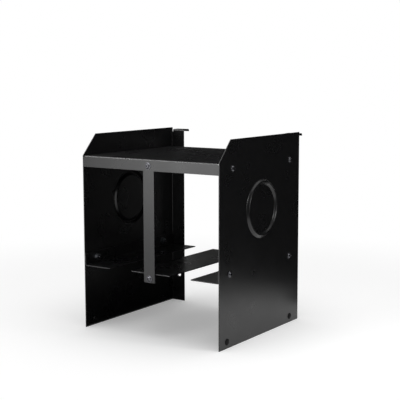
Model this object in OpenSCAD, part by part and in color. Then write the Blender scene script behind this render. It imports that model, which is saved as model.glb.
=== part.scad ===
// Power tool organizer: a bent steel shelf between two side panels, with three
// rails below it. Tools hang by their necks in the two slots between the rails.
// Millimetres, +Z up, front towards -Y, origin at the centre of the base.

/* [Body] */
// Width over the outer faces of the side panels
body_w = 305; // [260:1:420]
// Depth from the front edges to the rear face of the flanges
body_d = 284; // [240:1:360]
// Height of the side panels
body_h = 368; // [330:1:460]
// Thickness of the sheet steel
sheet_t = 1.6; // [1.2:0.1:2.4]
// Inside radius of every bend in the sheet
bend_r = 1.2; // [0.8:0.1:2]

/* [Side panels] */
// Length of the cut-off front corner, along the top edge
corner_run = 37; // [20:1:60]
// Height of the panels above the shelf, where the corner is cut off
corner_rise = 39; // [25:1:60]
// Width of the flange at the rear of each panel
rear_flange_w = 32; // [28:1:45]
// How far the hooks reach behind the flanges
hook_reach = 18; // [9:0.5:26]
// How far the tops of the hooks lie below the tops of the panels
hook_drop = 3.5; // [0:0.5:8]
// Length of the hooks' turned-down lips, below the bend
hook_lip = 2; // [1:0.5:8]
// Radius of the round pressed bead, at its crest
bead_r = 49; // [35:1:60]
// Width of the bead
bead_w = 12; // [8:1:20]
// Height of the bead
bead_h = 4.5; // [2:0.5:7]
// Height of the bead's centre
bead_z = 236; // [215:1:240]

/* [Shelf] */
// Height of the shelf's turned-down flanges
shelf_flange_h = 21; // [20:1:26]
// Distance from the shelf's top down to the screws in its flanges
shelf_screw_drop = 12; // [11:0.5:13]
// Setback of the shelf's rear flange from the wall plane
shelf_setback = 5; // [4:0.5:12]

/* [Rails] */
// Height of the top of all three rails
rail_z = 121; // [100:1:140]
// Width of each side rail
side_rail_w = 60; // [45:1:64]
// Height of the side rails' upright legs
rail_leg_h = 24; // [22:1:30]
// Distance from a side rail's top up to its screws
rail_screw_rise = 11; // [10:0.5:14]
// Width of the centre rail
center_rail_w = 86; // [60:1:92]
// Height of the centre rail's turned-down tabs, one at each end
center_tab_h = 17; // [16:0.5:24]
// Distance from the centre rail's top down to the screws in its tabs
tab_screw_drop = 10; // [9:0.5:10.5]
// Radius of the side rails' inner front corners
rail_corner_r = 3; // [1:0.5:10]

/* [Straps] */
// Width of the two hanging straps
strap_w = 24; // [18:1:36]
// Thickness of the straps
strap_t = 2.5; // [2:0.1:4]
// Radius of the straps' corners
strap_corner_r = 2; // [1:0.5:6]

/* [Fasteners] */
// Diameter of the screws
screw_d = 6; // [5:0.5:6]
// Length of the screws under the head
screw_l = 12; // [11.5:0.5:16]
// Diameter of the flange under each screw head
head_d = 13; // [12:0.5:14]
// Height of the screw heads with their flange
head_h = 3.3; // [3:0.1:3.8]
// Size across the flats of the socket in each head
socket_af = 4; // [3:0.5:4]
// Size across the flats of the nuts
nut_af = 10; // [9:0.5:11]
// Height of the nuts with their flange
nut_h = 6; // [5:0.5:7]
// Diameter of the nuts' flange
nut_flange_d = 13.6; // [13:0.1:14]
// Diameter of the heads of the plugs in the joining holes
plug_head_d = 12; // [9.5:0.5:14]
// Height of the plugs' heads
plug_head_h = 2.6; // [1:0.1:3.5]

/* [Holes] */
// Distance from the front edge to the shelf's front screws
shelf_screw_front = 43; // [25:1:60]
// Distance from the front edge to the rails' front screws
rail_screw_front = 33; // [20:1:60]
// Distance from the wall plane to all the rear screws in the side panels
rear_screw_inset = 39; // [30:1:60]
// Diameter of the wall holes in the rear flanges
wall_hole_d = 8; // [5:0.5:10]
// Distance from each panel's outer face to its wall holes
wall_hole_inset = 19; // [15:1:20]
// Height of the lower wall holes
wall_hole_low = 56; // [30:1:90]
// Height of the upper wall holes
wall_hole_high = 290; // [250:1:300]
// Diameter of the joining holes near the bottom of the side panels
side_hole_d = 7; // [6:0.5:8.5]
// Height of the joining holes
side_hole_z = 12; // [8:1:30]
// Distance from the front edge to the front joining holes
side_hole_front = 25; // [15:1:60]
// Distance from the wall plane to the rear joining holes
side_hole_rear = 35; // [20:1:60]

/* [Hidden] */

// Colours of the powder-coated steel, of the blackened fasteners and of the plugs
coat_color = "#222325";
rail_color = "#1e1f21";
screw_color = "#35363a";
nut_color = "#6d6f73";
plug_color = "#141416";

// Clearance around a screw in its holes, and around its thread in the nut
hole_gap = 0.25;
thread_gap = 0.05;
// Free space between the rails' rear ends and the flanges
rail_end_gap = 1;
// Free space between the ends of neighbouring flanges of the shelf
flange_end_gap = 0.4;
// Free space between the tops of the straps and the bend of the shelf
strap_top_gap = 2;
// Notch that frees each hook from the upright bend beside it
hook_notch_w = 2;
hook_notch_h = 5;
// Notches beside each tab of the centre rail: width, and depth past the end of the bend
tab_notch_w = 2;
tab_notch_end = 1.5;
// Thickness of the flange under a screw head, and width of its rim
head_flange_t = 0.9;
head_rim = 1.3;
// Depth of the socket in a screw head, and width of the flat rim around it
socket_depth = 2;
socket_rim = 0.9;
// Length of the bevel at the tip of a screw
tip_bevel = 0.7;
// Thickness of a nut's flange, and bevel of its top
nut_flange_t = 1.2;
nut_bevel = 0.8;
// Edge of a plug's head, free space around its shank, and wall of the hollow shank
plug_rim_h = 0.5;
plug_gap = 0.1;
plug_wall = 1;
// Ring that holds a plug behind the sheet: its length, and how far it is wider than the hole
plug_snap_l = 1.8;
plug_snap_rise = 0.3;
// How far cutting shapes run past the faces that they cut
overrun = 1;
// Segments of round parts, steps across the bead and steps round each bend of a hook
round_fn = 64;
bead_fn = 160;
bead_steps = 20;
hook_steps = 16;

bend_out = bend_r + sheet_t;
// The front and wall planes, placed so that the origin is at the middle of the depth
front_y = -(body_d + hook_reach - head_h) / 2;
wall_y = front_y + body_d;
outer_x = body_w / 2;
inner_x = outer_x - sheet_t;
flange_top_z = body_h - hook_drop - hook_notch_h;
shelf_z = body_h - corner_rise;
shelf_screw_z = shelf_z - shelf_screw_drop;
rail_screw_z = rail_z + rail_screw_rise;
tab_screw_z = rail_z - tab_screw_drop;
shelf_rear_y = wall_y - shelf_setback;
rear_screw_y = wall_y - rear_screw_inset;
shelf_screw_ys = [front_y + shelf_screw_front, rear_screw_y];
rail_screw_ys = [front_y + rail_screw_front, rear_screw_y];
side_hole_ys = [front_y + side_hole_front, wall_y - side_hole_rear];
// The straps hang inside the shelf's flanges and outside the centre rail's tabs
front_strap_y = front_y + sheet_t;
rear_strap_y = shelf_rear_y - sheet_t;
center_front_y = front_strap_y + strap_t;
center_rear_y = rear_strap_y - strap_t;
strap_top_z = shelf_z - bend_out - strap_top_gap;
strap_foot_z = rail_z - center_tab_h;
bead_y = (front_y + wall_y) / 2;

// Two legs of sheet that meet in a bend, with the outer corner at the origin
module angle_profile(run, rise) {
    translate([bend_out, 0])
        square([run - bend_out, sheet_t]);
    translate([0, bend_out])
        square([sheet_t, rise - bend_out]);
    bend_profile();
}

// A quarter of bent sheet, with the outer corner at the origin
module bend_profile() {
    intersection() {
        square(bend_out);
        translate([bend_out, bend_out])
            difference() {
                circle(bend_out, $fn = round_fn);
                circle(bend_r, $fn = round_fn);
            }
    }
}

// A rectangle with round corners, centred on the origin
module round_rectangle(w, h, r) {
    square([w - r - r, h], center = true);
    square([w, h - r - r], center = true);
    for (sx = [-1, 1], sy = [-1, 1])
        translate([sx * (w / 2 - r), sy * (h / 2 - r)])
            circle(r, $fn = round_fn);
}

// Stands a profile drawn in Y and Z on the given X, and draws it out along +X
module along_x(x, length) {
    translate([x, 0, 0])
        rotate([90, 0, 90])
            linear_extrude(length)
                children();
}

// Stands a profile drawn in X and Z on the given Y, and draws it out along +Y
module along_y(y, length) {
    translate([0, y + length, 0])
        rotate([90, 0, 0])
            linear_extrude(length)
                children();
}

// A round hole through the sheet whose outer face is at x, on the left side
module hole_along_x(x, y, z, r) {
    translate([x - overrun, y, z])
        rotate([0, 90, 0])
            cylinder(r = r, h = sheet_t + overrun + overrun, $fn = round_fn);
}

// A round hole of any length along Y
module hole_along_y(x, y, z, r, length) {
    translate([x, y + length + overrun, z])
        rotate([90, 0, 0])
            cylinder(r = r, h = length + overrun + overrun, $fn = round_fn);
}

// Height of the bead at a distance from its crest: a smooth wave with flat shoulders
function bead_wave(s) = bead_h * (1 + cos(360 * s / bead_w)) / 2;

// Section of the pressed bead: radius along X, height along Y, as thick as the sheet
module bead_profile() {
    offsets = [for (i = [0 : bead_steps]) bead_w * (i / bead_steps - 1 / 2)];
    outer = [for (s = offsets) [bead_r + s, sheet_t + bead_wave(s)]];
    inner = [for (i = [bead_steps : -1 : 0]) [bead_r + offsets[i], bead_wave(offsets[i])]];
    polygon(concat(outer, inner));
}

// The ring that the bead is pressed from, cut out of the flat sheet
module bead_blank() {
    translate([0, 0, -overrun])
        linear_extrude(sheet_t + overrun + overrun)
            difference() {
                circle(bead_r + bead_w / 2, $fn = bead_fn);
                circle(bead_r - bead_w / 2, $fn = bead_fn);
            }
}

// Places the bead on the left panel, with its crest outwards
module at_left_bead() {
    translate([-inner_x, bead_y, bead_z])
        rotate([0, -90, 0])
            children();
}

// Points round both bends of a hook: over the flange, and down into the lip
function hook_arcs(r) = [
    for (bend = [0, 1], i = [0 : hook_steps])
        let (a = 180 - 90 * (bend + i / hook_steps))
            [bend * (hook_reach - bend_r - bend_out) + r * cos(a), r * sin(a)]
];

// Section of a hook, in Y from the flange's rear face and Z: up from the flange, over and
// down into the lip. The first bend's centre is the origin of the outline.
module hook_profile() {
    root_z = bend_out - hook_notch_h - overrun;
    outer = hook_arcs(bend_out);
    inner = hook_arcs(bend_r);
    last = len(outer) - 1;
    translate([bend_r, body_h - hook_drop - bend_out])
        polygon(concat(
            [[-bend_out, root_z]],
            outer,
            [outer[last] - [0, hook_lip], inner[last] - [0, hook_lip]],
            [for (i = [last : -1 : 0]) inner[i]],
            [[-bend_r, root_z]]
        ));
}

// Left side panel: flat sheet, rear flange with its hook, cut corner, bead and holes
module left_side_panel_body() {
    difference() {
        union() {
            difference() {
                translate([-outer_x, wall_y, 0])
                    mirror([0, 1, 0])
                        linear_extrude(body_h)
                            angle_profile(rear_flange_w, body_d);
                // The flange stops below the hook's bend, and the notch frees the hook
                translate([-outer_x + bend_out, wall_y - sheet_t - overrun, flange_top_z])
                    cube([rear_flange_w, sheet_t + overrun + overrun, body_h - flange_top_z + overrun]);
                // The cut-off front corner
                along_x(-outer_x - overrun, sheet_t + overrun + overrun)
                    polygon([
                        [front_y - overrun * corner_run / corner_rise, shelf_z - overrun],
                        [front_y + corner_run + overrun * corner_run / corner_rise, body_h + overrun],
                        [front_y - overrun * corner_run / corner_rise, body_h + overrun]
                    ]);
                at_left_bead()
                    bead_blank();
            }
            translate([0, wall_y, 0])
                along_x(-outer_x + bend_out + hook_notch_w, rear_flange_w - bend_out - hook_notch_w)
                    hook_profile();
            at_left_bead()
                rotate_extrude($fn = bead_fn)
                    bead_profile();
        }
        for (y = shelf_screw_ys)
            hole_along_x(-outer_x, y, shelf_screw_z, screw_d / 2 + hole_gap);
        for (y = rail_screw_ys)
            hole_along_x(-outer_x, y, rail_screw_z, screw_d / 2 + hole_gap);
        for (y = side_hole_ys)
            hole_along_x(-outer_x, y, side_hole_z, side_hole_d / 2);
        for (z = [wall_hole_low, wall_hole_high])
            hole_along_y(-outer_x + wall_hole_inset, wall_y - sheet_t, z, wall_hole_d / 2, sheet_t);
    }
}

module left_side_panel() {
    color(coat_color)
        left_side_panel_body();
}

module right_side_panel() {
    color(coat_color)
        mirror([1, 0, 0])
            left_side_panel_body();
}

// One turned-down side flange of the shelf with its bend, on the left
module shelf_side_flange() {
    along_y(front_y + sheet_t + flange_end_gap,
            shelf_rear_y - front_y - sheet_t - sheet_t - flange_end_gap - flange_end_gap)
        translate([-inner_x, shelf_z - shelf_flange_h])
            square([sheet_t, shelf_flange_h - bend_out]);
    along_y(front_y + bend_out, shelf_rear_y - front_y - bend_out - bend_out)
        translate([-inner_x, shelf_z])
            mirror([0, 1])
                bend_profile();
}

// The shelf's front flange with its bend, with its outer face at Y zero
module shelf_end_flange() {
    along_x(-inner_x, inner_x + inner_x)
        translate([0, shelf_z - shelf_flange_h])
            square([sheet_t, shelf_flange_h - bend_out]);
    along_x(-inner_x + bend_out, inner_x + inner_x - bend_out - bend_out)
        translate([0, shelf_z])
            mirror([0, 1])
                bend_profile();
}

// Shelf: a flat tray turned down on all four sides
module top_shelf() {
    color(coat_color)
        difference() {
            union() {
                translate([-inner_x + bend_out, front_y + bend_out, shelf_z - sheet_t])
                    cube([
                        inner_x + inner_x - bend_out - bend_out,
                        shelf_rear_y - front_y - bend_out - bend_out,
                        sheet_t
                    ]);
                shelf_side_flange();
                mirror([1, 0, 0])
                    shelf_side_flange();
                translate([0, front_y, 0])
                    shelf_end_flange();
                translate([0, shelf_rear_y, 0])
                    mirror([0, 1, 0])
                        shelf_end_flange();
            }
            for (y = shelf_screw_ys) {
                hole_along_x(-inner_x, y, shelf_screw_z, screw_d / 2 + hole_gap);
                mirror([1, 0, 0])
                    hole_along_x(-inner_x, y, shelf_screw_z, screw_d / 2 + hole_gap);
            }
            for (y = [front_y, shelf_rear_y - sheet_t])
                hole_along_y(0, y, shelf_screw_z, screw_d / 2 + hole_gap, sheet_t);
        }
}

// Left rail: an upright leg on the panel and a flat leg that carries the tools
module left_rail_body() {
    rail_l = body_d - sheet_t - rail_end_gap;
    tip_x = -inner_x + side_rail_w;
    difference() {
        along_y(front_y, rail_l)
            translate([-inner_x, rail_z - sheet_t])
                angle_profile(side_rail_w, rail_leg_h);
        for (y = rail_screw_ys)
            hole_along_x(-inner_x, y, rail_screw_z, screw_d / 2 + hole_gap);
        // The round inner front corner
        translate([tip_x - rail_corner_r, front_y + rail_corner_r, rail_z - sheet_t - overrun])
            linear_extrude(sheet_t + overrun + overrun)
                difference() {
                    translate([0, -rail_corner_r - overrun])
                        square(rail_corner_r + overrun);
                    circle(rail_corner_r, $fn = round_fn);
                }
    }
}

module left_rail() {
    color(rail_color)
        left_rail_body();
}

module right_rail() {
    color(rail_color)
        mirror([1, 0, 0])
            left_rail_body();
}

// Outline of the centre rail's plate, with the room for the tabs and their notches cut away
module center_plate_outline() {
    tab_depth = bend_out + tab_notch_end;
    difference() {
        translate([-center_rail_w / 2, center_front_y])
            square([center_rail_w, center_rear_y - center_front_y]);
        for (y = [center_front_y - overrun, center_rear_y - tab_depth])
            translate([-strap_w / 2 - tab_notch_w, y])
                square([strap_w + tab_notch_w + tab_notch_w, tab_depth + overrun]);
    }
}

// Section of a turned-down tab, from inside the plate to its foot, with its outer face at Y zero
module center_tab_profile() {
    translate([0, rail_z])
        mirror([0, 1])
            angle_profile(bend_out + tab_notch_end + overrun, center_tab_h);
}

// Centre rail: a plate with a tab turned down at each end, as wide as the strap that holds it
module center_rail() {
    color(rail_color)
        difference() {
            union() {
                translate([0, 0, rail_z - sheet_t])
                    linear_extrude(sheet_t)
                        center_plate_outline();
                along_x(-strap_w / 2, strap_w) {
                    translate([center_front_y, 0])
                        center_tab_profile();
                    translate([center_rear_y, 0])
                        mirror([1, 0])
                            center_tab_profile();
                }
            }
            for (y = [center_front_y, center_rear_y - sheet_t])
                hole_along_y(0, y, tab_screw_z, screw_d / 2 + hole_gap, sheet_t);
        }
}

// A hanging strap whose front face is at the given Y
module strap_body(y) {
    strap_l = strap_top_z - strap_foot_z;
    difference() {
        translate([0, 0, strap_foot_z + strap_l / 2])
            along_y(y, strap_t)
                round_rectangle(strap_w, strap_l, strap_corner_r);
        for (z = [shelf_screw_z, tab_screw_z])
            hole_along_y(0, y, z, screw_d / 2 + hole_gap, strap_t);
    }
}

module front_strap() {
    color(coat_color)
        strap_body(front_strap_y);
}

module rear_strap() {
    color(coat_color)
        strap_body(rear_strap_y - strap_t);
}

// Flanged button-head screw: the head above Z zero, the shank below it
module screw() {
    // The dome is the part of a ball between two circles: the flange's and the flat top's
    dome_r = head_d / 2 - head_rim;
    top_r = socket_af / 2 + socket_rim;
    ball_z = (head_h * head_h + top_r * top_r - head_flange_t * head_flange_t - dome_r * dome_r)
             / (head_h - head_flange_t) / 2;
    ball_r = sqrt(dome_r * dome_r + (head_flange_t - ball_z) * (head_flange_t - ball_z));
    difference() {
        union() {
            cylinder(d = head_d, h = head_flange_t, $fn = round_fn);
            intersection() {
                translate([0, 0, ball_z])
                    sphere(ball_r, $fn = round_fn);
                cylinder(r = dome_r, h = head_h, $fn = round_fn);
            }
            translate([0, 0, tip_bevel - screw_l])
                cylinder(d = screw_d, h = screw_l, $fn = round_fn);
            translate([0, 0, -screw_l])
                cylinder(d1 = screw_d - tip_bevel - tip_bevel, d2 = screw_d, h = tip_bevel, $fn = round_fn);
        }
        translate([0, 0, head_h - socket_depth])
            cylinder(d = socket_af / cos(30), h = socket_depth + overrun, $fn = 6);
    }
}

// Hexagon flange nut: seated on Z zero, with its thread along Z
module nut() {
    corner_d = nut_af / cos(30);
    difference() {
        union() {
            cylinder(d = nut_flange_d, h = nut_flange_t, $fn = round_fn);
            // A cone takes the points off the top of the hexagon
            intersection() {
                cylinder(d = corner_d, h = nut_h, $fn = 6);
                cylinder(d1 = corner_d + nut_h, d2 = corner_d - nut_bevel, h = nut_h, $fn = round_fn);
            }
        }
        translate([0, 0, -overrun])
            cylinder(r = screw_d / 2 + thread_gap, h = nut_h + overrun + overrun, $fn = round_fn);
    }
}

// Push-in plug: the head above Z zero, the hollow shank and its ring below it
module plug() {
    head_r = plug_head_d / 2;
    dome_h = plug_head_h - plug_rim_h;
    ball_r = (head_r * head_r + dome_h * dome_h) / dome_h / 2;
    shank_r = side_hole_d / 2 - plug_gap;
    difference() {
        union() {
            intersection() {
                translate([0, 0, plug_head_h - ball_r])
                    sphere(ball_r, $fn = round_fn);
                cylinder(r = head_r, h = plug_head_h, $fn = round_fn);
            }
            translate([0, 0, -sheet_t])
                cylinder(r = shank_r, h = sheet_t + plug_rim_h, $fn = round_fn);
            translate([0, 0, -sheet_t - plug_snap_l])
                cylinder(
                    r1 = shank_r,
                    r2 = side_hole_d / 2 + plug_snap_rise,
                    h = plug_snap_l,
                    $fn = round_fn
                );
        }
        translate([0, 0, -sheet_t - plug_snap_l - overrun])
            cylinder(r = shank_r - plug_wall, h = sheet_t + plug_snap_l + overrun, $fn = round_fn);
    }
}

// Screws through the left panel at the given depths and height, heads outwards
module left_screws(ys, z) {
    for (y = ys)
        translate([-outer_x, y, z])
            rotate([0, -90, 0])
                screw();
}

// Nuts on those screws, against the sheet inside the panel
module left_nuts(ys, z) {
    for (y = ys)
        translate([-inner_x + sheet_t, y, z])
            rotate([0, 90, 0])
                nut();
}

module left_shelf_screws() {
    color(screw_color)
        left_screws(shelf_screw_ys, shelf_screw_z);
}

module left_shelf_nuts() {
    color(nut_color)
        left_nuts(shelf_screw_ys, shelf_screw_z);
}

module right_shelf_screws() {
    color(screw_color)
        mirror([1, 0, 0])
            left_screws(shelf_screw_ys, shelf_screw_z);
}

module right_shelf_nuts() {
    color(nut_color)
        mirror([1, 0, 0])
            left_nuts(shelf_screw_ys, shelf_screw_z);
}

module left_rail_screws() {
    color(screw_color)
        left_screws(rail_screw_ys, rail_screw_z);
}

module left_rail_nuts() {
    color(nut_color)
        left_nuts(rail_screw_ys, rail_screw_z);
}

module right_rail_screws() {
    color(screw_color)
        mirror([1, 0, 0])
            left_screws(rail_screw_ys, rail_screw_z);
}

module right_rail_nuts() {
    color(nut_color)
        mirror([1, 0, 0])
            left_nuts(rail_screw_ys, rail_screw_z);
}

// A screw on the centre line whose head sits on a face at y and points forwards
module front_screw(y, z) {
    color(screw_color)
        translate([0, y, z])
            rotate([90, 0, 0])
                screw();
}

// A nut on the centre line, seated on a face at y and pointing rearwards
module front_nut(y, z) {
    color(nut_color)
        translate([0, y, z])
            rotate([-90, 0, 0])
                nut();
}

// The same for the rear strap, with the head pointing rearwards
module rear_screw(y, z) {
    color(screw_color)
        translate([0, y, z])
            rotate([-90, 0, 0])
                screw();
}

module rear_nut(y, z) {
    color(nut_color)
        translate([0, y, z])
            rotate([90, 0, 0])
                nut();
}

module front_strap_top_screw() {
    front_screw(front_y, shelf_screw_z);
}

module front_strap_top_nut() {
    front_nut(front_strap_y + strap_t, shelf_screw_z);
}

module front_strap_foot_screw() {
    front_screw(front_strap_y, tab_screw_z);
}

module front_strap_foot_nut() {
    front_nut(center_front_y + sheet_t, tab_screw_z);
}

module rear_strap_top_screw() {
    rear_screw(shelf_rear_y, shelf_screw_z);
}

module rear_strap_top_nut() {
    rear_nut(rear_strap_y - strap_t, shelf_screw_z);
}

module rear_strap_foot_screw() {
    rear_screw(rear_strap_y, tab_screw_z);
}

module rear_strap_foot_nut() {
    rear_nut(center_rear_y - sheet_t, tab_screw_z);
}

// The plugs in the joining holes, pressed in from outside
module left_plugs() {
    for (y = side_hole_ys)
        translate([-outer_x, y, side_hole_z])
            rotate([0, -90, 0])
                plug();
}

module left_side_plugs() {
    color(plug_color)
        left_plugs();
}

module right_side_plugs() {
    color(plug_color)
        mirror([1, 0, 0])
            left_plugs();
}

left_side_panel();
right_side_panel();
top_shelf();
left_rail();
right_rail();
center_rail();
front_strap();
rear_strap();
left_shelf_screws();
left_shelf_nuts();
right_shelf_screws();
right_shelf_nuts();
left_rail_screws();
left_rail_nuts();
right_rail_screws();
right_rail_nuts();
front_strap_top_screw();
front_strap_top_nut();
front_strap_foot_screw();
front_strap_foot_nut();
rear_strap_top_screw();
rear_strap_top_nut();
rear_strap_foot_screw();
rear_strap_foot_nut();
left_side_plugs();
right_side_plugs();
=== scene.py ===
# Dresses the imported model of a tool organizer: bent sheet steel under satin black powder coat, joined by
# black button-head screws and flange nuts, with moulded plugs in the spare holes. Metres, in the frame of
# the CAD model.
import math
import bmesh
import bpy
import numpy as np
from mathutils import Matrix, Vector


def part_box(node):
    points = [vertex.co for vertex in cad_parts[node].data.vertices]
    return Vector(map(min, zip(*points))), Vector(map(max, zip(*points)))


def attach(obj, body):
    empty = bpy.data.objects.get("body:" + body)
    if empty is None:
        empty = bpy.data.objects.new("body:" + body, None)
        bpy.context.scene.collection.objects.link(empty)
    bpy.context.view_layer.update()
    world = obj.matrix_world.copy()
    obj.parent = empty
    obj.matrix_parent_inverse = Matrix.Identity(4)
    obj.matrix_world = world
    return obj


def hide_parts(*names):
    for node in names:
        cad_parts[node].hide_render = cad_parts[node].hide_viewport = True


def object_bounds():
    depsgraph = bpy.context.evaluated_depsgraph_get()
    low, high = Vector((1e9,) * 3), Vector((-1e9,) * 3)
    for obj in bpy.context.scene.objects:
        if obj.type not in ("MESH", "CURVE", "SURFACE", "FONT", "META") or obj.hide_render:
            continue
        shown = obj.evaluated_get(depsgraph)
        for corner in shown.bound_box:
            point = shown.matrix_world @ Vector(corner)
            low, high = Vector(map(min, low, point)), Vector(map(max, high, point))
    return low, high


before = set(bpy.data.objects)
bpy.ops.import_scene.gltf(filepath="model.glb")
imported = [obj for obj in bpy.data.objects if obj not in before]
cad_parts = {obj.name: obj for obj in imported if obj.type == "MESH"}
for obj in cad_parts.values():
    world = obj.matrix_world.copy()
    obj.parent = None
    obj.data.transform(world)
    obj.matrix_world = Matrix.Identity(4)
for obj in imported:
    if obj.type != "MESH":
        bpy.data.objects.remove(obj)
cadLow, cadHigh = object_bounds()
scene = bpy.context.scene
mm = 0.001
pureWhite = (1, 1, 1, 1)
# A mix node's sockets for two colours and their mixture
mixFirst, mixSecond, mixResult = 6, 7, 2
print("frame loaded:", len(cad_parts), "nodes")


def linear(hexColor):
    # sRGB to linear: divided by 12.92 near black, else the 2.4 power of the shifted channel
    srgb = np.array([int(hexColor[i:i + 2], 16) for i in (1, 3, 5)]) / 255
    return (*np.where(srgb <= 0.04045, srgb / 12.92, ((srgb + 0.055) / 1.055) ** 2.4), 1)


def addNode(tree, kind, settings=None, links=None):
    # Settings go to the node's own properties, or to its inputs where it has none of that name
    node = tree.nodes.new(kind)
    for name, value in (settings or {}).items():
        if isinstance(name, str) and hasattr(node, name):
            setattr(node, name, value)
        else:
            node.inputs[name].default_value = value
    for name, source in (links or {}).items():
        tree.links.new(source, node.inputs[name])
    return node


def startMaterial(name):
    material = bpy.data.materials.new(name)
    material.use_nodes = True
    material.node_tree.nodes.clear()
    return material, material.node_tree


# Camera: the photograph's place, measured from the object's edges
camera = {
    "place": (1.0624, -1.5428, 0.4852),
    "forward": (-0.5584, 0.8193, -0.1301),
    "roll": -0.14,  # degrees
    "lens": 88.6,  # mm
    "sensor": 36.0,  # mm
    "clip": (0.05, 40),
}
cameraData = bpy.data.cameras.new("photoView")
cameraData.lens, cameraData.sensor_width = camera["lens"], camera["sensor"]
cameraData.clip_start, cameraData.clip_end = camera["clip"]
cameraObject = bpy.data.objects.new("photoView", cameraData)
scene.collection.objects.link(cameraObject)
aim = Vector(camera["forward"]).to_track_quat("-Z", "Y").to_matrix()
cameraObject.matrix_world = Matrix.Translation(camera["place"]) @ (
    aim @ Matrix.Rotation(math.radians(camera["roll"]), 3, "Z")
).to_4x4()
scene.camera = cameraObject
scene.view_settings.view_transform = "Standard"

# Studio: a low soft light at the front left, a weak one overhead, a small one at the right and a white
# room. A strip light high at the front left, seen by gloss alone, draws the light line along the shelf's
# front bend. Dark cloth hangs round the back and sides where only gloss sees it, so that the black sheets
# stay black. Two dark cloths on the floor, under the organizer and by its right rear corner, are painted
# shadow of the organizer, seen by gloss alone.
studio = {
    # Each light's place, its width and height, and its watts
    "lights": {
        "keySoftbox": ((-0.54, -1.53, 0.27), (1.0, 0.55), 5.8),
        "topSoftbox": ((0.1, -0.1, 1.9), (1.6, 1.6), 18.0),
        "sideSoftbox": ((0.56, -0.06, 0.34), (0.06, 0.16), 0.45),
        "stripSoftbox": ((-0.73, -0.94, 1.05), (0.8, 0.25), 11.0),
    },
    "fill": 0.42,  # light that the room gives
    "background": 1.0,  # how bright the room looks
    "floorColor": "#ececec",
    "floorRadius": 6.0,
    "floorSides": 64,
    "floorFade": (0.40, 1.10),  # from bare paper to the white background
    "floorGlow": 0.27,
    "curtainColor": "#303030",
    "curtainRadius": 0.62,
    "curtainHeight": 0.8,
    "curtainSpan": (-44, 74),  # degrees from +X round to the left
    "curtainColumns": 48,
    # Flat cloths: colour, a corner, the edge that runs from it and the edge that rises from it
    "cloths": [
        # A tall one behind, for the shelf's top
        ("#0c0c0c", (-0.80, 0.44, 0), (0.90, 0, 0), (0, 0, 1.8)),
        # A grey band in front of it, for the rails' tops, and a darker one below that
        ("#8c8c8c", (-0.60, 0.20, 0.12), (0.71, 0, 0), (0, 0, 0.22)),
        ("#343434", (-0.60, 0.20, 0), (0.71, 0, 0), (0, 0, 0.12)),
        # On the floor: under the organizer, behind the curtain, and by the right panel's rear corner. The
        # first and the last are painted shadow of the organizer, seen by gloss alone.
        ("#0c0c0c", (-0.148, -0.15, 0.0005), (0.296, 0, 0), (0, 0.35, 0)),
        ("#303030", (-0.150, 0.86, 0.0005), (0.926, -1.07, 0), (0.8, 0.8, 0)),
        # Painted shadow of the organizer by the right panel's rear corner, seen by gloss alone
        ("#1c1c1c", (0.148, 0.22, 0.0005), (0.12, 0.05, 0), (0, 0.32, 0)),
    ],
}


def addLight(name, place, size, power):
    light = bpy.data.lights.new(name, "AREA")
    light.shape = "RECTANGLE"
    light.size, light.size_y = size
    light.energy = power
    lamp = bpy.data.objects.new(name, light)
    target = (cadLow + cadHigh) / 2
    lamp.location = place
    lamp.rotation_mode = "QUATERNION"
    lamp.rotation_quaternion = (target - Vector(place)).to_track_quat("-Z", "Y")
    scene.collection.objects.link(lamp)
    return lamp


lamps = {name: addLight(name, *values) for name, values in studio["lights"].items()}
lamps["stripSoftbox"].visible_diffuse = False


def seenRays(tree):
    # 1 for rays that show the background: from the camera, off a gloss or through glass
    path = addNode(tree, "ShaderNodeLightPath")
    pair = addNode(tree, "ShaderNodeMath", {"operation": "MAXIMUM"}, {
        0: path.outputs["Is Camera Ray"], 1: path.outputs["Is Glossy Ray"]})
    return addNode(tree, "ShaderNodeMath", {"operation": "MAXIMUM"}, {
        0: pair.outputs[0], 1: path.outputs["Is Transmission Ray"]}).outputs[0]


world = bpy.data.worlds.new("whiteRoom")
scene.world = world
world.use_nodes = True
tree = world.node_tree
tree.nodes.clear()
strength = addNode(tree, "ShaderNodeMapRange", {
    "To Min": studio["fill"], "To Max": studio["background"]}, {"Value": seenRays(tree)})
room = addNode(tree, "ShaderNodeBackground", {"Color": pureWhite}, {"Strength": strength.outputs["Result"]})
addNode(tree, "ShaderNodeOutputWorld", {}, {"Surface": room.outputs[0]})

# Paper floor: matt and lit round the object, so that it holds the shadow, and turning white further out
paperMaterial, tree = startMaterial("paleMattPaper")
seen = seenRays(tree)
place = addNode(tree, "ShaderNodeTexCoord").outputs["Object"]
reach = addNode(tree, "ShaderNodeVectorMath", {"operation": "LENGTH"}, {0: place}).outputs["Value"]
fadeStart, fadeEnd = studio["floorFade"]
fade = addNode(tree, "ShaderNodeMapRange", {
    "interpolation_type": "SMOOTHSTEP", "From Min": fadeStart, "From Max": fadeEnd}, {
    "Value": reach}).outputs["Result"]
paper = addNode(tree, "ShaderNodeBsdfDiffuse", {"Color": linear(studio["floorColor"])})
glow = addNode(tree, "ShaderNodeMath", {"operation": "MULTIPLY", 1: studio["floorGlow"]}, {0: seen})
glowing = addNode(tree, "ShaderNodeEmission", {"Color": pureWhite}, {"Strength": glow.outputs[0]})
near = addNode(tree, "ShaderNodeAddShader", {}, {0: paper.outputs[0], 1: glowing.outputs[0]})
far = addNode(tree, "ShaderNodeEmission", {"Color": pureWhite, "Strength": studio["background"]})
shown = addNode(tree, "ShaderNodeMath", {"operation": "MULTIPLY"}, {0: seen, 1: fade})
blend = addNode(tree, "ShaderNodeMixShader", {}, {
    0: shown.outputs[0], 1: near.outputs[0], 2: far.outputs[0]})
addNode(tree, "ShaderNodeOutputMaterial", {}, {"Surface": blend.outputs[0]})


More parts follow.
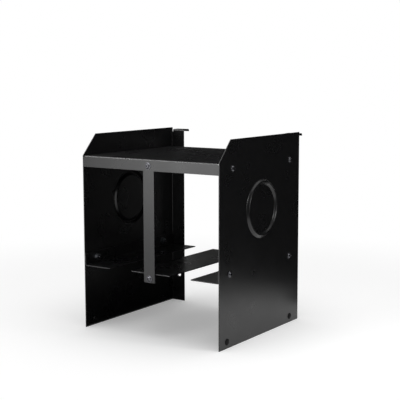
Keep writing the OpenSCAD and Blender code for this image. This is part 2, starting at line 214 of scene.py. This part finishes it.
def makeCloth(hexColor):
    # Dark matt cloth. Laid on the floor under and beside the organizer, its darkness is painted shadow.
    material, tree = startMaterial("glossCloth" + hexColor[1:])
    pile = addNode(tree, "ShaderNodeBsdfDiffuse", {"Color": linear(hexColor)})
    addNode(tree, "ShaderNodeOutputMaterial", {}, {"Surface": pile.outputs[0]})
    return material


def rings(radii, heights, angles):
    # Rings round +Z: row i lies at radius radii[i] and height heights[i], either of them the same all
    # round or with its own value at each angle
    radii, heights, angles = (np.asarray(values, float) for values in (radii, heights, angles))
    radii = np.broadcast_to(radii.reshape(len(radii), -1), (len(radii), len(angles)))
    heights = np.broadcast_to(heights.reshape(len(heights), -1), radii.shape)
    return np.stack([radii * np.cos(angles), radii * np.sin(angles), heights], axis=-1)


def fullTurn(count):
    return np.arange(count) / count * 2 * np.pi


def gridFaces(rows, columns, joinRows=False, joinColumns=True):
    # Quads between neighbouring rows and columns. Where the columns join and the rows don't, a flat face
    # closes the first row and the last.
    i, k = np.meshgrid(
        np.arange(rows - (not joinRows)), np.arange(columns - (not joinColumns)), indexing="ij")
    nextRow, nextColumn = (i + 1) % rows, (k + 1) % columns
    quads = np.stack([i * columns + k, i * columns + nextColumn, nextRow * columns + nextColumn,
                      nextRow * columns + k], axis=-1).reshape(-1, 4).tolist()
    if joinRows or not joinColumns:
        return quads
    return quads + [list(range(columns))[::-1], list(range((rows - 1) * columns, rows * columns))]


def addStage(name, grid, faces, material):
    mesh = bpy.data.meshes.new(name)
    mesh.from_pydata(grid.reshape(-1, 3).tolist(), [], faces)
    mesh.materials.append(material)
    backdrop = bpy.data.objects.new(name, mesh)
    scene.collection.objects.link(backdrop)
    return backdrop


floorGrid = rings([studio["floorRadius"]], [0], fullTurn(studio["floorSides"]))
addStage("floor", floorGrid, [list(range(studio["floorSides"]))], paperMaterial)
curtainAngles = np.radians(np.linspace(*studio["curtainSpan"], studio["curtainColumns"]))
curtainGrid = rings([studio["curtainRadius"]] * 2, [0, studio["curtainHeight"]], curtainAngles)
curtainFaces = gridFaces(2, studio["curtainColumns"], joinColumns=False)
cloths = [addStage("curtain", curtainGrid, curtainFaces, makeCloth(studio["curtainColor"]))]
for number, (hexColor, *edges) in enumerate(studio["cloths"]):
    corner, run, rise = np.array(edges)
    grid = np.stack([corner, corner + run, corner + run + rise, corner + rise])
    cloths.append(addStage(f"cloth{number}", grid, [[0, 1, 2, 3]], makeCloth(hexColor)))
for cloth in cloths:
    cloth.visible_camera = cloth.visible_diffuse = False
    cloth.visible_transmission = cloth.visible_shadow = False
print("camera, lights and floor ready")

# Powder coat: pigmented polyester sprayed dry and baked on steel. It gives a satin sheen over near black,
# with the slight ripple called orange peel, and a thinner, smoother skin over each edge, rubbed in places.
# The edges' lighter colour, of the thin coat and of the rubbed spots alike, is partly painted highlight
# along the edges. Widths and heights in mm.
powderCoat = {
    "color": "#0c0c0d",
    "speckColor": "#121213",
    # Edge colours: the thin coat and the rubbed spots, lighter partly as painted highlight along the edges
    "thinCoatAndHighlightColor": "#28282b",
    "rubbedAndHighlightColor": "#6c6d70",
    "roughness": 0.29,
    "edgeRoughness": 0.24,
    "sheenSwing": 0.03,  # roughness added or taken away from patch to patch
    "ior": 1.5,
    "noiseRoughness": 0.5,
    "peelWidth": 4.0,  # the real ripple of 1 to 2 mm is too fine to show
    "peelDetail": 1.5,
    "peelHeight": 0.004,
    "grainWidth": 1.1,  # the real grain of 0.2 mm is too fine to show
    "grainDetail": 1.0,
    "grainHeight": 0.0015,
    "speckRange": (0.5, 0.85),  # noise where the specks begin and are full
    "speckShare": 0.6,
    "patchWidth": 45.0,
    "patchDetail": 3.0,
    "patchRange": (0.3, 0.7),  # noise of the smoothest patches and of the roughest
    "rubWidth": 5.0,
    "rubDetail": 4.0,
    "rubRoughness": 0.6,
    "rubRange": (0.62, 0.65),  # noise where the coat starts to thin and is rubbed through
}


def makeCoat(name, coat, onEdges):
    material, tree = startMaterial(name)
    place = addNode(tree, "ShaderNodeTexCoord").outputs["Object"]
    peel, grain, patch = (addNode(tree, "ShaderNodeTexNoise", {
        "Scale": 1 / (coat[pattern + "Width"] * mm), "Detail": coat[pattern + "Detail"],
        "Roughness": coat["noiseRoughness"]}, {"Vector": place}).outputs["Fac"]
        for pattern in ("peel", "grain", "patch"))
    ripple = addNode(tree, "ShaderNodeBump", {"Strength": 1.0, "Distance": coat["peelHeight"] * mm}, {
        "Height": peel}).outputs["Normal"]
    skin = addNode(tree, "ShaderNodeBump", {"Strength": 1.0, "Distance": coat["grainHeight"] * mm}, {
        "Height": grain, "Normal": ripple}).outputs["Normal"]
    middle = coat["edgeRoughness"] if onEdges else coat["roughness"]
    swing = coat["sheenSwing"]
    low, high = coat["patchRange"]
    sheen = addNode(tree, "ShaderNodeMapRange", {
        "From Min": low, "From Max": high, "To Min": middle - swing, "To Max": middle + swing}, {
        "Value": patch}).outputs["Result"]
    low, high = coat["speckRange"]
    speck = addNode(tree, "ShaderNodeMapRange", {
        "From Min": low, "From Max": high, "To Max": coat["speckShare"]}, {"Value": grain}).outputs["Result"]
    # On edges the ground is the thin coat, lighter partly as painted highlight along the edges
    ground = coat["thinCoatAndHighlightColor"] if onEdges else coat["color"]
    color = addNode(tree, "ShaderNodeMix", {
        "data_type": "RGBA", mixFirst: linear(ground), mixSecond: linear(coat["speckColor"])}, {
        "Factor": speck}).outputs[mixResult]
    if onEdges:
        rub = addNode(tree, "ShaderNodeTexNoise", {
            "Scale": 1 / (coat["rubWidth"] * mm), "Detail": coat["rubDetail"],
            "Roughness": coat["rubRoughness"]}, {"Vector": place})
        low, high = coat["rubRange"]
        bare = addNode(tree, "ShaderNodeMapRange", {"From Min": low, "From Max": high}, {
            "Value": rub.outputs["Fac"]})
        # Rubbed spots in a lighter grey: wear, and partly painted highlight along the edges
        color = addNode(tree, "ShaderNodeMix", {
            "data_type": "RGBA", mixSecond: linear(coat["rubbedAndHighlightColor"])}, {
            "Factor": bare.outputs["Result"], mixFirst: color}).outputs[mixResult]
    surface = addNode(tree, "ShaderNodeBsdfPrincipled", {"IOR": coat["ior"], "Metallic": 0.0}, {
        "Base Color": color, "Roughness": sheen, "Normal": skin})
    addNode(tree, "ShaderNodeOutputMaterial", {}, {"Surface": surface.outputs["BSDF"]})
    return material


coatMaterial = makeCoat("powderCoatedSteel", powderCoat, False)
edgeMaterial = makeCoat("powderCoatedEdge", powderCoat, True)

# Plated and moulded fasteners. Black zinc on steel is a glossy dark metal, bright zinc a pale one with a
# bluish sheen and fine handling marks, and moulded polyethylene is a waxy black, dulled by the fine grain
# of its mould. Widths and heights in mm.
fastenerFinish = {
    "blackZincPlatedSteel": {
        "color": "#47474a", "markColor": "#626266", "metallic": 1.0, "roughness": 0.22, "specular": 0.5,
        "markWidth": 1.6, "markHeight": 0.004},
    "brightZincPlatedSteel": {
        "color": "#9fa3a8", "markColor": "#7d8186", "metallic": 1.0, "roughness": 0.30, "specular": 0.5,
        "markWidth": 1.4, "markHeight": 0.006},
    "mouldedPolyethylene": {
        "color": "#080809", "markColor": "#101011", "metallic": 0.0, "roughness": 0.70, "specular": 0.25,
        "markWidth": 0.9, "markHeight": 0.008},
}
# The marks are one noise on every finish, which shifts the roughness down and up
marking = {
    "detail": 3.0,
    "noiseRoughness": 0.6,
    "range": (0.3, 0.7),
    "smoother": 0.05,  # roughness taken away at the low end of the range
    "rougher": 0.07,  # roughness added at its high end
}


def makeFastenerMaterial(name, finish):
    material, tree = startMaterial(name)
    place = addNode(tree, "ShaderNodeTexCoord").outputs["Object"]
    marks = addNode(tree, "ShaderNodeTexNoise", {
        "Scale": 1 / (finish["markWidth"] * mm), "Detail": marking["detail"],
        "Roughness": marking["noiseRoughness"]}, {"Vector": place}).outputs["Fac"]
    tone = addNode(tree, "ShaderNodeMix", {
        "data_type": "RGBA", mixFirst: linear(finish["color"]), mixSecond: linear(finish["markColor"])}, {
        "Factor": marks}).outputs[mixResult]
    low, high = marking["range"]
    smooth, rough = finish["roughness"] - marking["smoother"], finish["roughness"] + marking["rougher"]
    sheen = addNode(tree, "ShaderNodeMapRange", {
        "From Min": low, "From Max": high, "To Min": smooth, "To Max": rough}, {
        "Value": marks}).outputs["Result"]
    bumps = addNode(tree, "ShaderNodeBump", {"Strength": 1.0, "Distance": finish["markHeight"] * mm}, {
        "Height": marks}).outputs["Normal"]
    surface = addNode(tree, "ShaderNodeBsdfPrincipled", {
        "Metallic": finish["metallic"], "Specular IOR Level": finish["specular"]}, {
        "Base Color": tone, "Roughness": sheen, "Normal": bumps})
    addNode(tree, "ShaderNodeOutputMaterial", {}, {"Surface": surface.outputs["BSDF"]})
    return material


fastenerMaterials = {name: makeFastenerMaterial(name, finish) for name, finish in fastenerFinish.items()}
print("materials ready")

# Sheet parts: each is its CAD node with a skin of coat that rounds every cut edge
sheetParts = {
    "nodes": ["left_side_panel", "right_side_panel", "top_shelf", "left_rail", "right_rail", "center_rail",
              "front_strap", "rear_strap"],
    "edgeRadius": 0.35,  # mm
    "sharpAngle": 40.0,  # degrees
    "segments": 3,
    "mergeReach": 0.002,  # mm between points that become one
    "flatAngle": 0.3,  # degrees between faces that become one
}


def addPiece(name, mesh, node):
    piece = bpy.data.objects.new(name, mesh)
    scene.collection.objects.link(piece)
    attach(piece, "root")
    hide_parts(node)
    return piece


def roundEdges(piece, spec):
    # Rounds what is sharper than the angle, in the last of the materials, then bends the shading towards
    # the large flat faces
    bevel = piece.modifiers.new("roundEdges", "BEVEL")
    bevel.width, bevel.segments = spec["edgeRadius"] * mm, spec["segments"]
    bevel.limit_method, bevel.angle_limit = "ANGLE", math.radians(spec["sharpAngle"])
    bevel.material = len(piece.data.materials) - 1
    weighted = piece.modifiers.new("flatFaces", "WEIGHTED_NORMAL")
    weighted.keep_sharp = True


for node in sheetParts["nodes"]:
    shell = bmesh.new()
    shell.from_mesh(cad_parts[node].data)
    bmesh.ops.remove_doubles(shell, verts=shell.verts, dist=sheetParts["mergeReach"] * mm)
    bmesh.ops.dissolve_limit(
        shell, angle_limit=math.radians(sheetParts["flatAngle"]), verts=shell.verts, edges=shell.edges)
    mesh = bpy.data.meshes.new(node + "_coated")
    shell.to_mesh(mesh)
    shell.free()
    mesh.materials.clear()
    mesh.materials.append(coatMaterial)
    mesh.materials.append(edgeMaterial)
    mesh.shade_smooth()
    roundEdges(addPiece(node + "_coated", mesh, node), sheetParts)
print("sheet parts coated")


def softened(corners, steps=4):
    # A line through corners, each given as radius, height and cut. A corner is cut back by its cut on
    # both sides and closed by a parabola.
    corners = np.array(corners, float)
    spots, cuts = corners[:, :2], corners[:, 2]
    line = [spots[:1]]
    for before, corner, after, cut in zip(spots[:-2], spots[1:-1], spots[2:], cuts[1:-1]):
        start = corner + (before - corner) / np.linalg.norm(before - corner) * cut
        end = corner + (after - corner) / np.linalg.norm(after - corner) * cut
        t = np.linspace(0, 1, steps + 1 if cut else 1)[:, None]
        line.append((1 - t) ** 2 * start + 2 * t * (1 - t) * corner + t ** 2 * end)
    return np.concatenate([*line, spots[-1:]])


def hexRadius(across, angles):
    # Distance from the centre to the side of a hexagon: half its width over the cosine of the angle from
    # the middle of that side
    return across / 2 / np.cos((angles + np.pi / 6) % (np.pi / 3) - np.pi / 6)


# Screws: flanged button heads with a hexagon socket, and a rolled metric thread. Sizes in mm.
screw = {
    "length": 12.0,
    "headHeight": 3.3,
    "flangeRadius": 6.5,
    "flangeThick": 0.9,
    "flangeCuts": (0.2, 0.3),  # below and above
    "domeRadius": 5.2,
    "topRadius": 2.9,
    "domeCut": 0.15,
    "domeSteps": 12,
    "socketAcross": 4.0,
    "socketDepth": 2.0,
    "socketChamfer": 0.22,
    "coneDepth": 0.25,
    "coneShare": 0.1,  # of the socket's width, at the foot of the cone
    "crestRadius": 2.97,
    "rootRadius": 2.40,
    "pitch": 1.0,
    "flankSlope": 2.4,
    "rootShare": 0.5,
    "tipLength": 0.7,
    "neckLength": 0.9,  # smooth shank under the head
    "neckFade": 0.3,
    "seatGap": 0.12,  # from the last ring of the shank to the head
    "columns": 72,
    "stepsPerTurn": 8,
}


def screwRings(spec):
    angles = fullTurn(spec["columns"])
    # Thread: a wave of height over pitch, less the turn, is steepened and cut flat at root and crest, and
    # it fades into the smooth neck and the bevelled tip
    steps = int(spec["length"] / spec["pitch"] * spec["stepsPerTurn"])
    z = np.linspace(-spec["length"], -spec["seatGap"], steps)[:, None]
    phase = (z / spec["pitch"] - angles / (2 * np.pi)) % 1
    wave = 1 - 2 * np.abs(phase - 0.5)
    ramp = np.clip(spec["flankSlope"] * wave - spec["rootShare"], 0, 1)
    thread = spec["rootRadius"] + (spec["crestRadius"] - spec["rootRadius"]) * ramp
    neck = np.clip((z + spec["neckLength"]) / spec["neckFade"], 0, 1)
    thread = thread + (spec["crestRadius"] - thread) * neck
    thread = np.minimum(thread, spec["crestRadius"] - spec["tipLength"] + (z + spec["length"]))
    shank = rings(thread, z, angles)
    # Head: a ball's cap over a thin flange. The ball's centre is as far from the cap's lower edge as
    # from its upper one, and the cap's rings lie at even angles round it.
    foot, top = spec["flangeThick"], spec["headHeight"]
    wide, narrow = spec["domeRadius"], spec["topRadius"]
    ballZ = (top ** 2 + narrow ** 2 - foot ** 2 - wide ** 2) / (top - foot) / 2
    ballRadius = math.hypot(wide, foot - ballZ)
    footTurn, topTurn = math.atan2(foot - ballZ, wide), math.atan2(top - ballZ, narrow)
    turn = np.linspace(footTurn, topTurn, spec["domeSteps"])[1:-1]
    dome = np.stack([ballRadius * np.cos(turn), ballZ + ballRadius * np.sin(turn), 0 * turn], axis=-1)
    lip = spec["socketAcross"] / 2 / math.cos(math.pi / 6) + spec["socketChamfer"]
    lowerCut, upperCut = spec["flangeCuts"]
    profile = softened([
        (spec["crestRadius"], 0, 0), (spec["flangeRadius"], 0, lowerCut),
        (spec["flangeRadius"], foot, upperCut), (wide, foot, spec["domeCut"]), *dome,
        (narrow, top, spec["domeCut"]), (lip, top, 0)])
    head = rings(profile[:, 0], profile[:, 1], angles)
    # Socket: straight hexagon walls down to a shallow cone
    side, floor = hexRadius(spec["socketAcross"], angles), top - spec["socketDepth"]
    heights = [top, top - spec["socketChamfer"], floor, floor - spec["coneDepth"]]
    walls = np.stack([side + spec["socketChamfer"], side, side, side * spec["coneShare"]])
    socket = rings(walls, heights, angles)
    return np.concatenate([shank, head, socket])


# Flange nuts: a hexagon with a turned crown on a sloping round flange, with a countersunk bore. Sizes in
# mm.
nut = {
    "across": 10.0,
    "height": 6.0,
    "flangeRadius": 6.8,
    "flangeEdge": 1.1,
    "flangeRise": 0.75,  # how much higher the flange is at the hexagon
    "rimBevel": 0.15,
    "rimTopBevel": 0.2,  # its width at the top, where the flange slopes
    "filletWidth": 0.12,
    "filletHeight": 0.15,
    "crownRadius": 4.75,
    "crownSlope": 0.5,
    "boreRadius": 3.02,
    "countersink": 0.35,
    "columns": 84,
}


def nutRings(spec):
    angles = fullTurn(spec["columns"])
    side = hexRadius(spec["across"], angles)
    top, rim, edge = spec["height"], spec["flangeRadius"], spec["flangeEdge"]
    bore, sink, bevel = spec["boreRadius"], spec["countersink"], spec["rimBevel"]
    # The crown is a cone, so the hexagon ends lower where it is wider, and the flange slopes, so it
    # starts lower there too
    crown = top - np.maximum(side - spec["crownRadius"], 0) * spec["crownSlope"]
    foot = edge + spec["flangeRise"] * (rim - side) / (rim - spec["across"] / 2)
    # Radius and height of each ring, from the bore's foot out over the flange and up to the bore's top
    rows = [
        (bore, sink), (bore + sink, 0), (rim - bevel, 0), (rim, bevel), (rim, edge - bevel),
        (rim - spec["rimTopBevel"], edge), (side + spec["filletWidth"], foot),
        (side, foot + spec["filletHeight"]), (side, crown), (np.minimum(side, spec["crownRadius"]), top),
        (bore + sink, top), (bore, top - sink)]
    radii, heights = (
        np.stack([np.broadcast_to(value, angles.shape) for value in values]) for values in zip(*rows))
    return rings(radii, heights, angles)


# Plugs: a low dome with a moulded dimple, and a hollow shank that snaps behind the sheet. Sizes in mm.
plug = {
    "headRadius": 6.0,
    "headHeight": 2.6,
    "rimHeight": 0.5,
    "rimCut": 0.15,
    "domeSteps": 14,
    "centreRadius": 0.05,  # of the flat faces that close the dome and the hollow
    "dimpleRadius": 0.8,
    "dimpleDepth": 0.2,
    "shankRadius": 3.4,
    "shankCut": 0.1,
    "tipTaper": 0.2,
    "snapRadius": 3.8,
    "snapSlope": 0.1,
    "snapLength": 1.8,
    "sheet": 1.6,
    "wall": 1.0,
    "hollowGap": 0.1,  # from the head's seat down to the end of the hollow
    "columns": 64,
}


def plugRings(spec):
    rise, head = spec["headHeight"] - spec["rimHeight"], spec["headRadius"]
    ball = (head ** 2 + rise ** 2) / rise / 2
    r = np.linspace(head, spec["centreRadius"], spec["domeSteps"])
    # Dome of a ball, less a dimple shaped as a bell curve
    dome = spec["headHeight"] - ball + np.sqrt(ball ** 2 - r ** 2)
    dome = dome - spec["dimpleDepth"] * np.exp(-(r / spec["dimpleRadius"]) ** 2)
    shank, back, ceiling = spec["shankRadius"], -spec["sheet"], -spec["hollowGap"]
    end, hollow, cut = back - spec["snapLength"], shank - spec["wall"], spec["shankCut"]
    profile = softened([
        (spec["centreRadius"], ceiling, 0), (hollow, ceiling, cut), (hollow, end, cut),
        (shank - spec["tipTaper"], end, cut), (spec["snapRadius"], back - spec["snapSlope"], cut),
        (shank, back, 0), (shank, 0, 0), (head, 0, spec["rimCut"]), (head, dome[0], spec["rimCut"]),
        *((radius, height, 0) for radius, height in zip(r[1:], dome[1:]))])
    return rings(profile[:, 0], profile[:, 1], fullTurn(spec["columns"]))


# Fasteners: how each kind is built, its material, and the name of its slot in the record
fasteners = {
    "screw": {
        "shape": screwRings(screw), "joinRows": False, "headLength": screw["headHeight"],
        "material": fastenerMaterials["blackZincPlatedSteel"], "slot": "black_screw", "suffix": "_threaded"},
    "nut": {
        "shape": nutRings(nut), "joinRows": True, "headLength": nut["height"],
        "material": fastenerMaterials["brightZincPlatedSteel"], "slot": "zinc_nut", "suffix": "_turned"},
    "plug": {
        "shape": plugRings(plug), "joinRows": False, "headLength": plug["headHeight"],
        "material": fastenerMaterials["mouldedPolyethylene"], "slot": "black_plug", "suffix": "_moulded"},
}
# Angles in degrees. Each fastener is turned its own way, as hand-tightened ones are.
fastening = {
    "firstTurn": 11,
    "nodeTurn": 23,
    "pairTurn": 47,
    "sharpAngle": 32,  # edges sharper than this stay hard
    "pairSpread": 4,  # a node that is deeper than this many fastener radii holds a pair
}


def placed(points, seat, axis, turn):
    # Turned round +Z, tipped from +Z onto the axis and moved to the seat
    tip = Vector((0, 0, 1)).rotation_difference(Vector(axis)).to_matrix() @ Matrix.Rotation(turn, 3, "Z")
    return points.reshape(-1, 3) * mm @ np.array(tip).T + np.array(seat)


def addFasteners(node, kind, axis, turn):
    # One copy at each end of the node's box, or a single one. The seat is the head's length in from the
    # face that the axis points to.
    low, high = (np.array(corner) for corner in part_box(node))
    axis = np.array(axis, float)
    along = int(np.argmax(np.abs(axis)))
    radius = (high[2] - low[2]) / 2
    middle = (low + high) / 2
    middle[along] = (high if axis[along] > 0 else low)[along] - axis[along] * kind["headLength"] * mm
    spread = high[1] - low[1] if along == 0 else 0
    isPair = spread > fastening["pairSpread"] * radius
    depths = [low[1] + radius, high[1] - radius] if isPair else [middle[1]]
    rows, columns = kind["shape"].shape[:2]
    faces = gridFaces(rows, columns, kind["joinRows"])
    points, polygons = [], []
    for number, depth in enumerate(depths):
        seat = middle.copy()
        seat[1] = depth
        ownTurn = math.radians(turn + fastening["pairTurn"] * number)
        points.append(placed(kind["shape"], seat, axis, ownTurn))
        polygons += [[corner + number * rows * columns for corner in face] for face in faces]
    mesh = bpy.data.meshes.new(node + kind["suffix"])
    mesh.from_pydata(np.concatenate(points).tolist(), [], polygons)
    mesh.materials.append(kind["material"])
    mesh.shade_smooth()
    mesh.set_sharp_from_angle(angle=math.radians(fastening["sharpAngle"]))
    addPiece(node + kind["suffix"], mesh, node)


# Screw heads and plugs face outward, the tops of nuts inward
outward = {"left": (-1, 0, 0), "right": (1, 0, 0), "front": (0, -1, 0), "rear": (0, 1, 0)}
inward = {side: tuple(-step for step in outward[side]) for side in outward}
facings = {"screw": outward, "nut": inward}
fastenerPlaces = [
    *((f"{side}_{row}_{kind}s", kind, facing[side]) for kind, facing in facings.items()
      for side in ("left", "right") for row in ("shelf", "rail")),
    *((f"{side}_strap_{row}_{kind}", kind, facing[side]) for kind, facing in facings.items()
      for side in ("front", "rear") for row in ("top", "foot")),
    *((f"{side}_side_plugs", "plug", outward[side]) for side in ("left", "right")),
]
for number, (node, kind, axis) in enumerate(fastenerPlaces):
    addFasteners(node, fasteners[kind], axis, fastening["firstTurn"] + fastening["nodeTurn"] * number)
print("fasteners placed:", len(fastenerPlaces), "nodes")
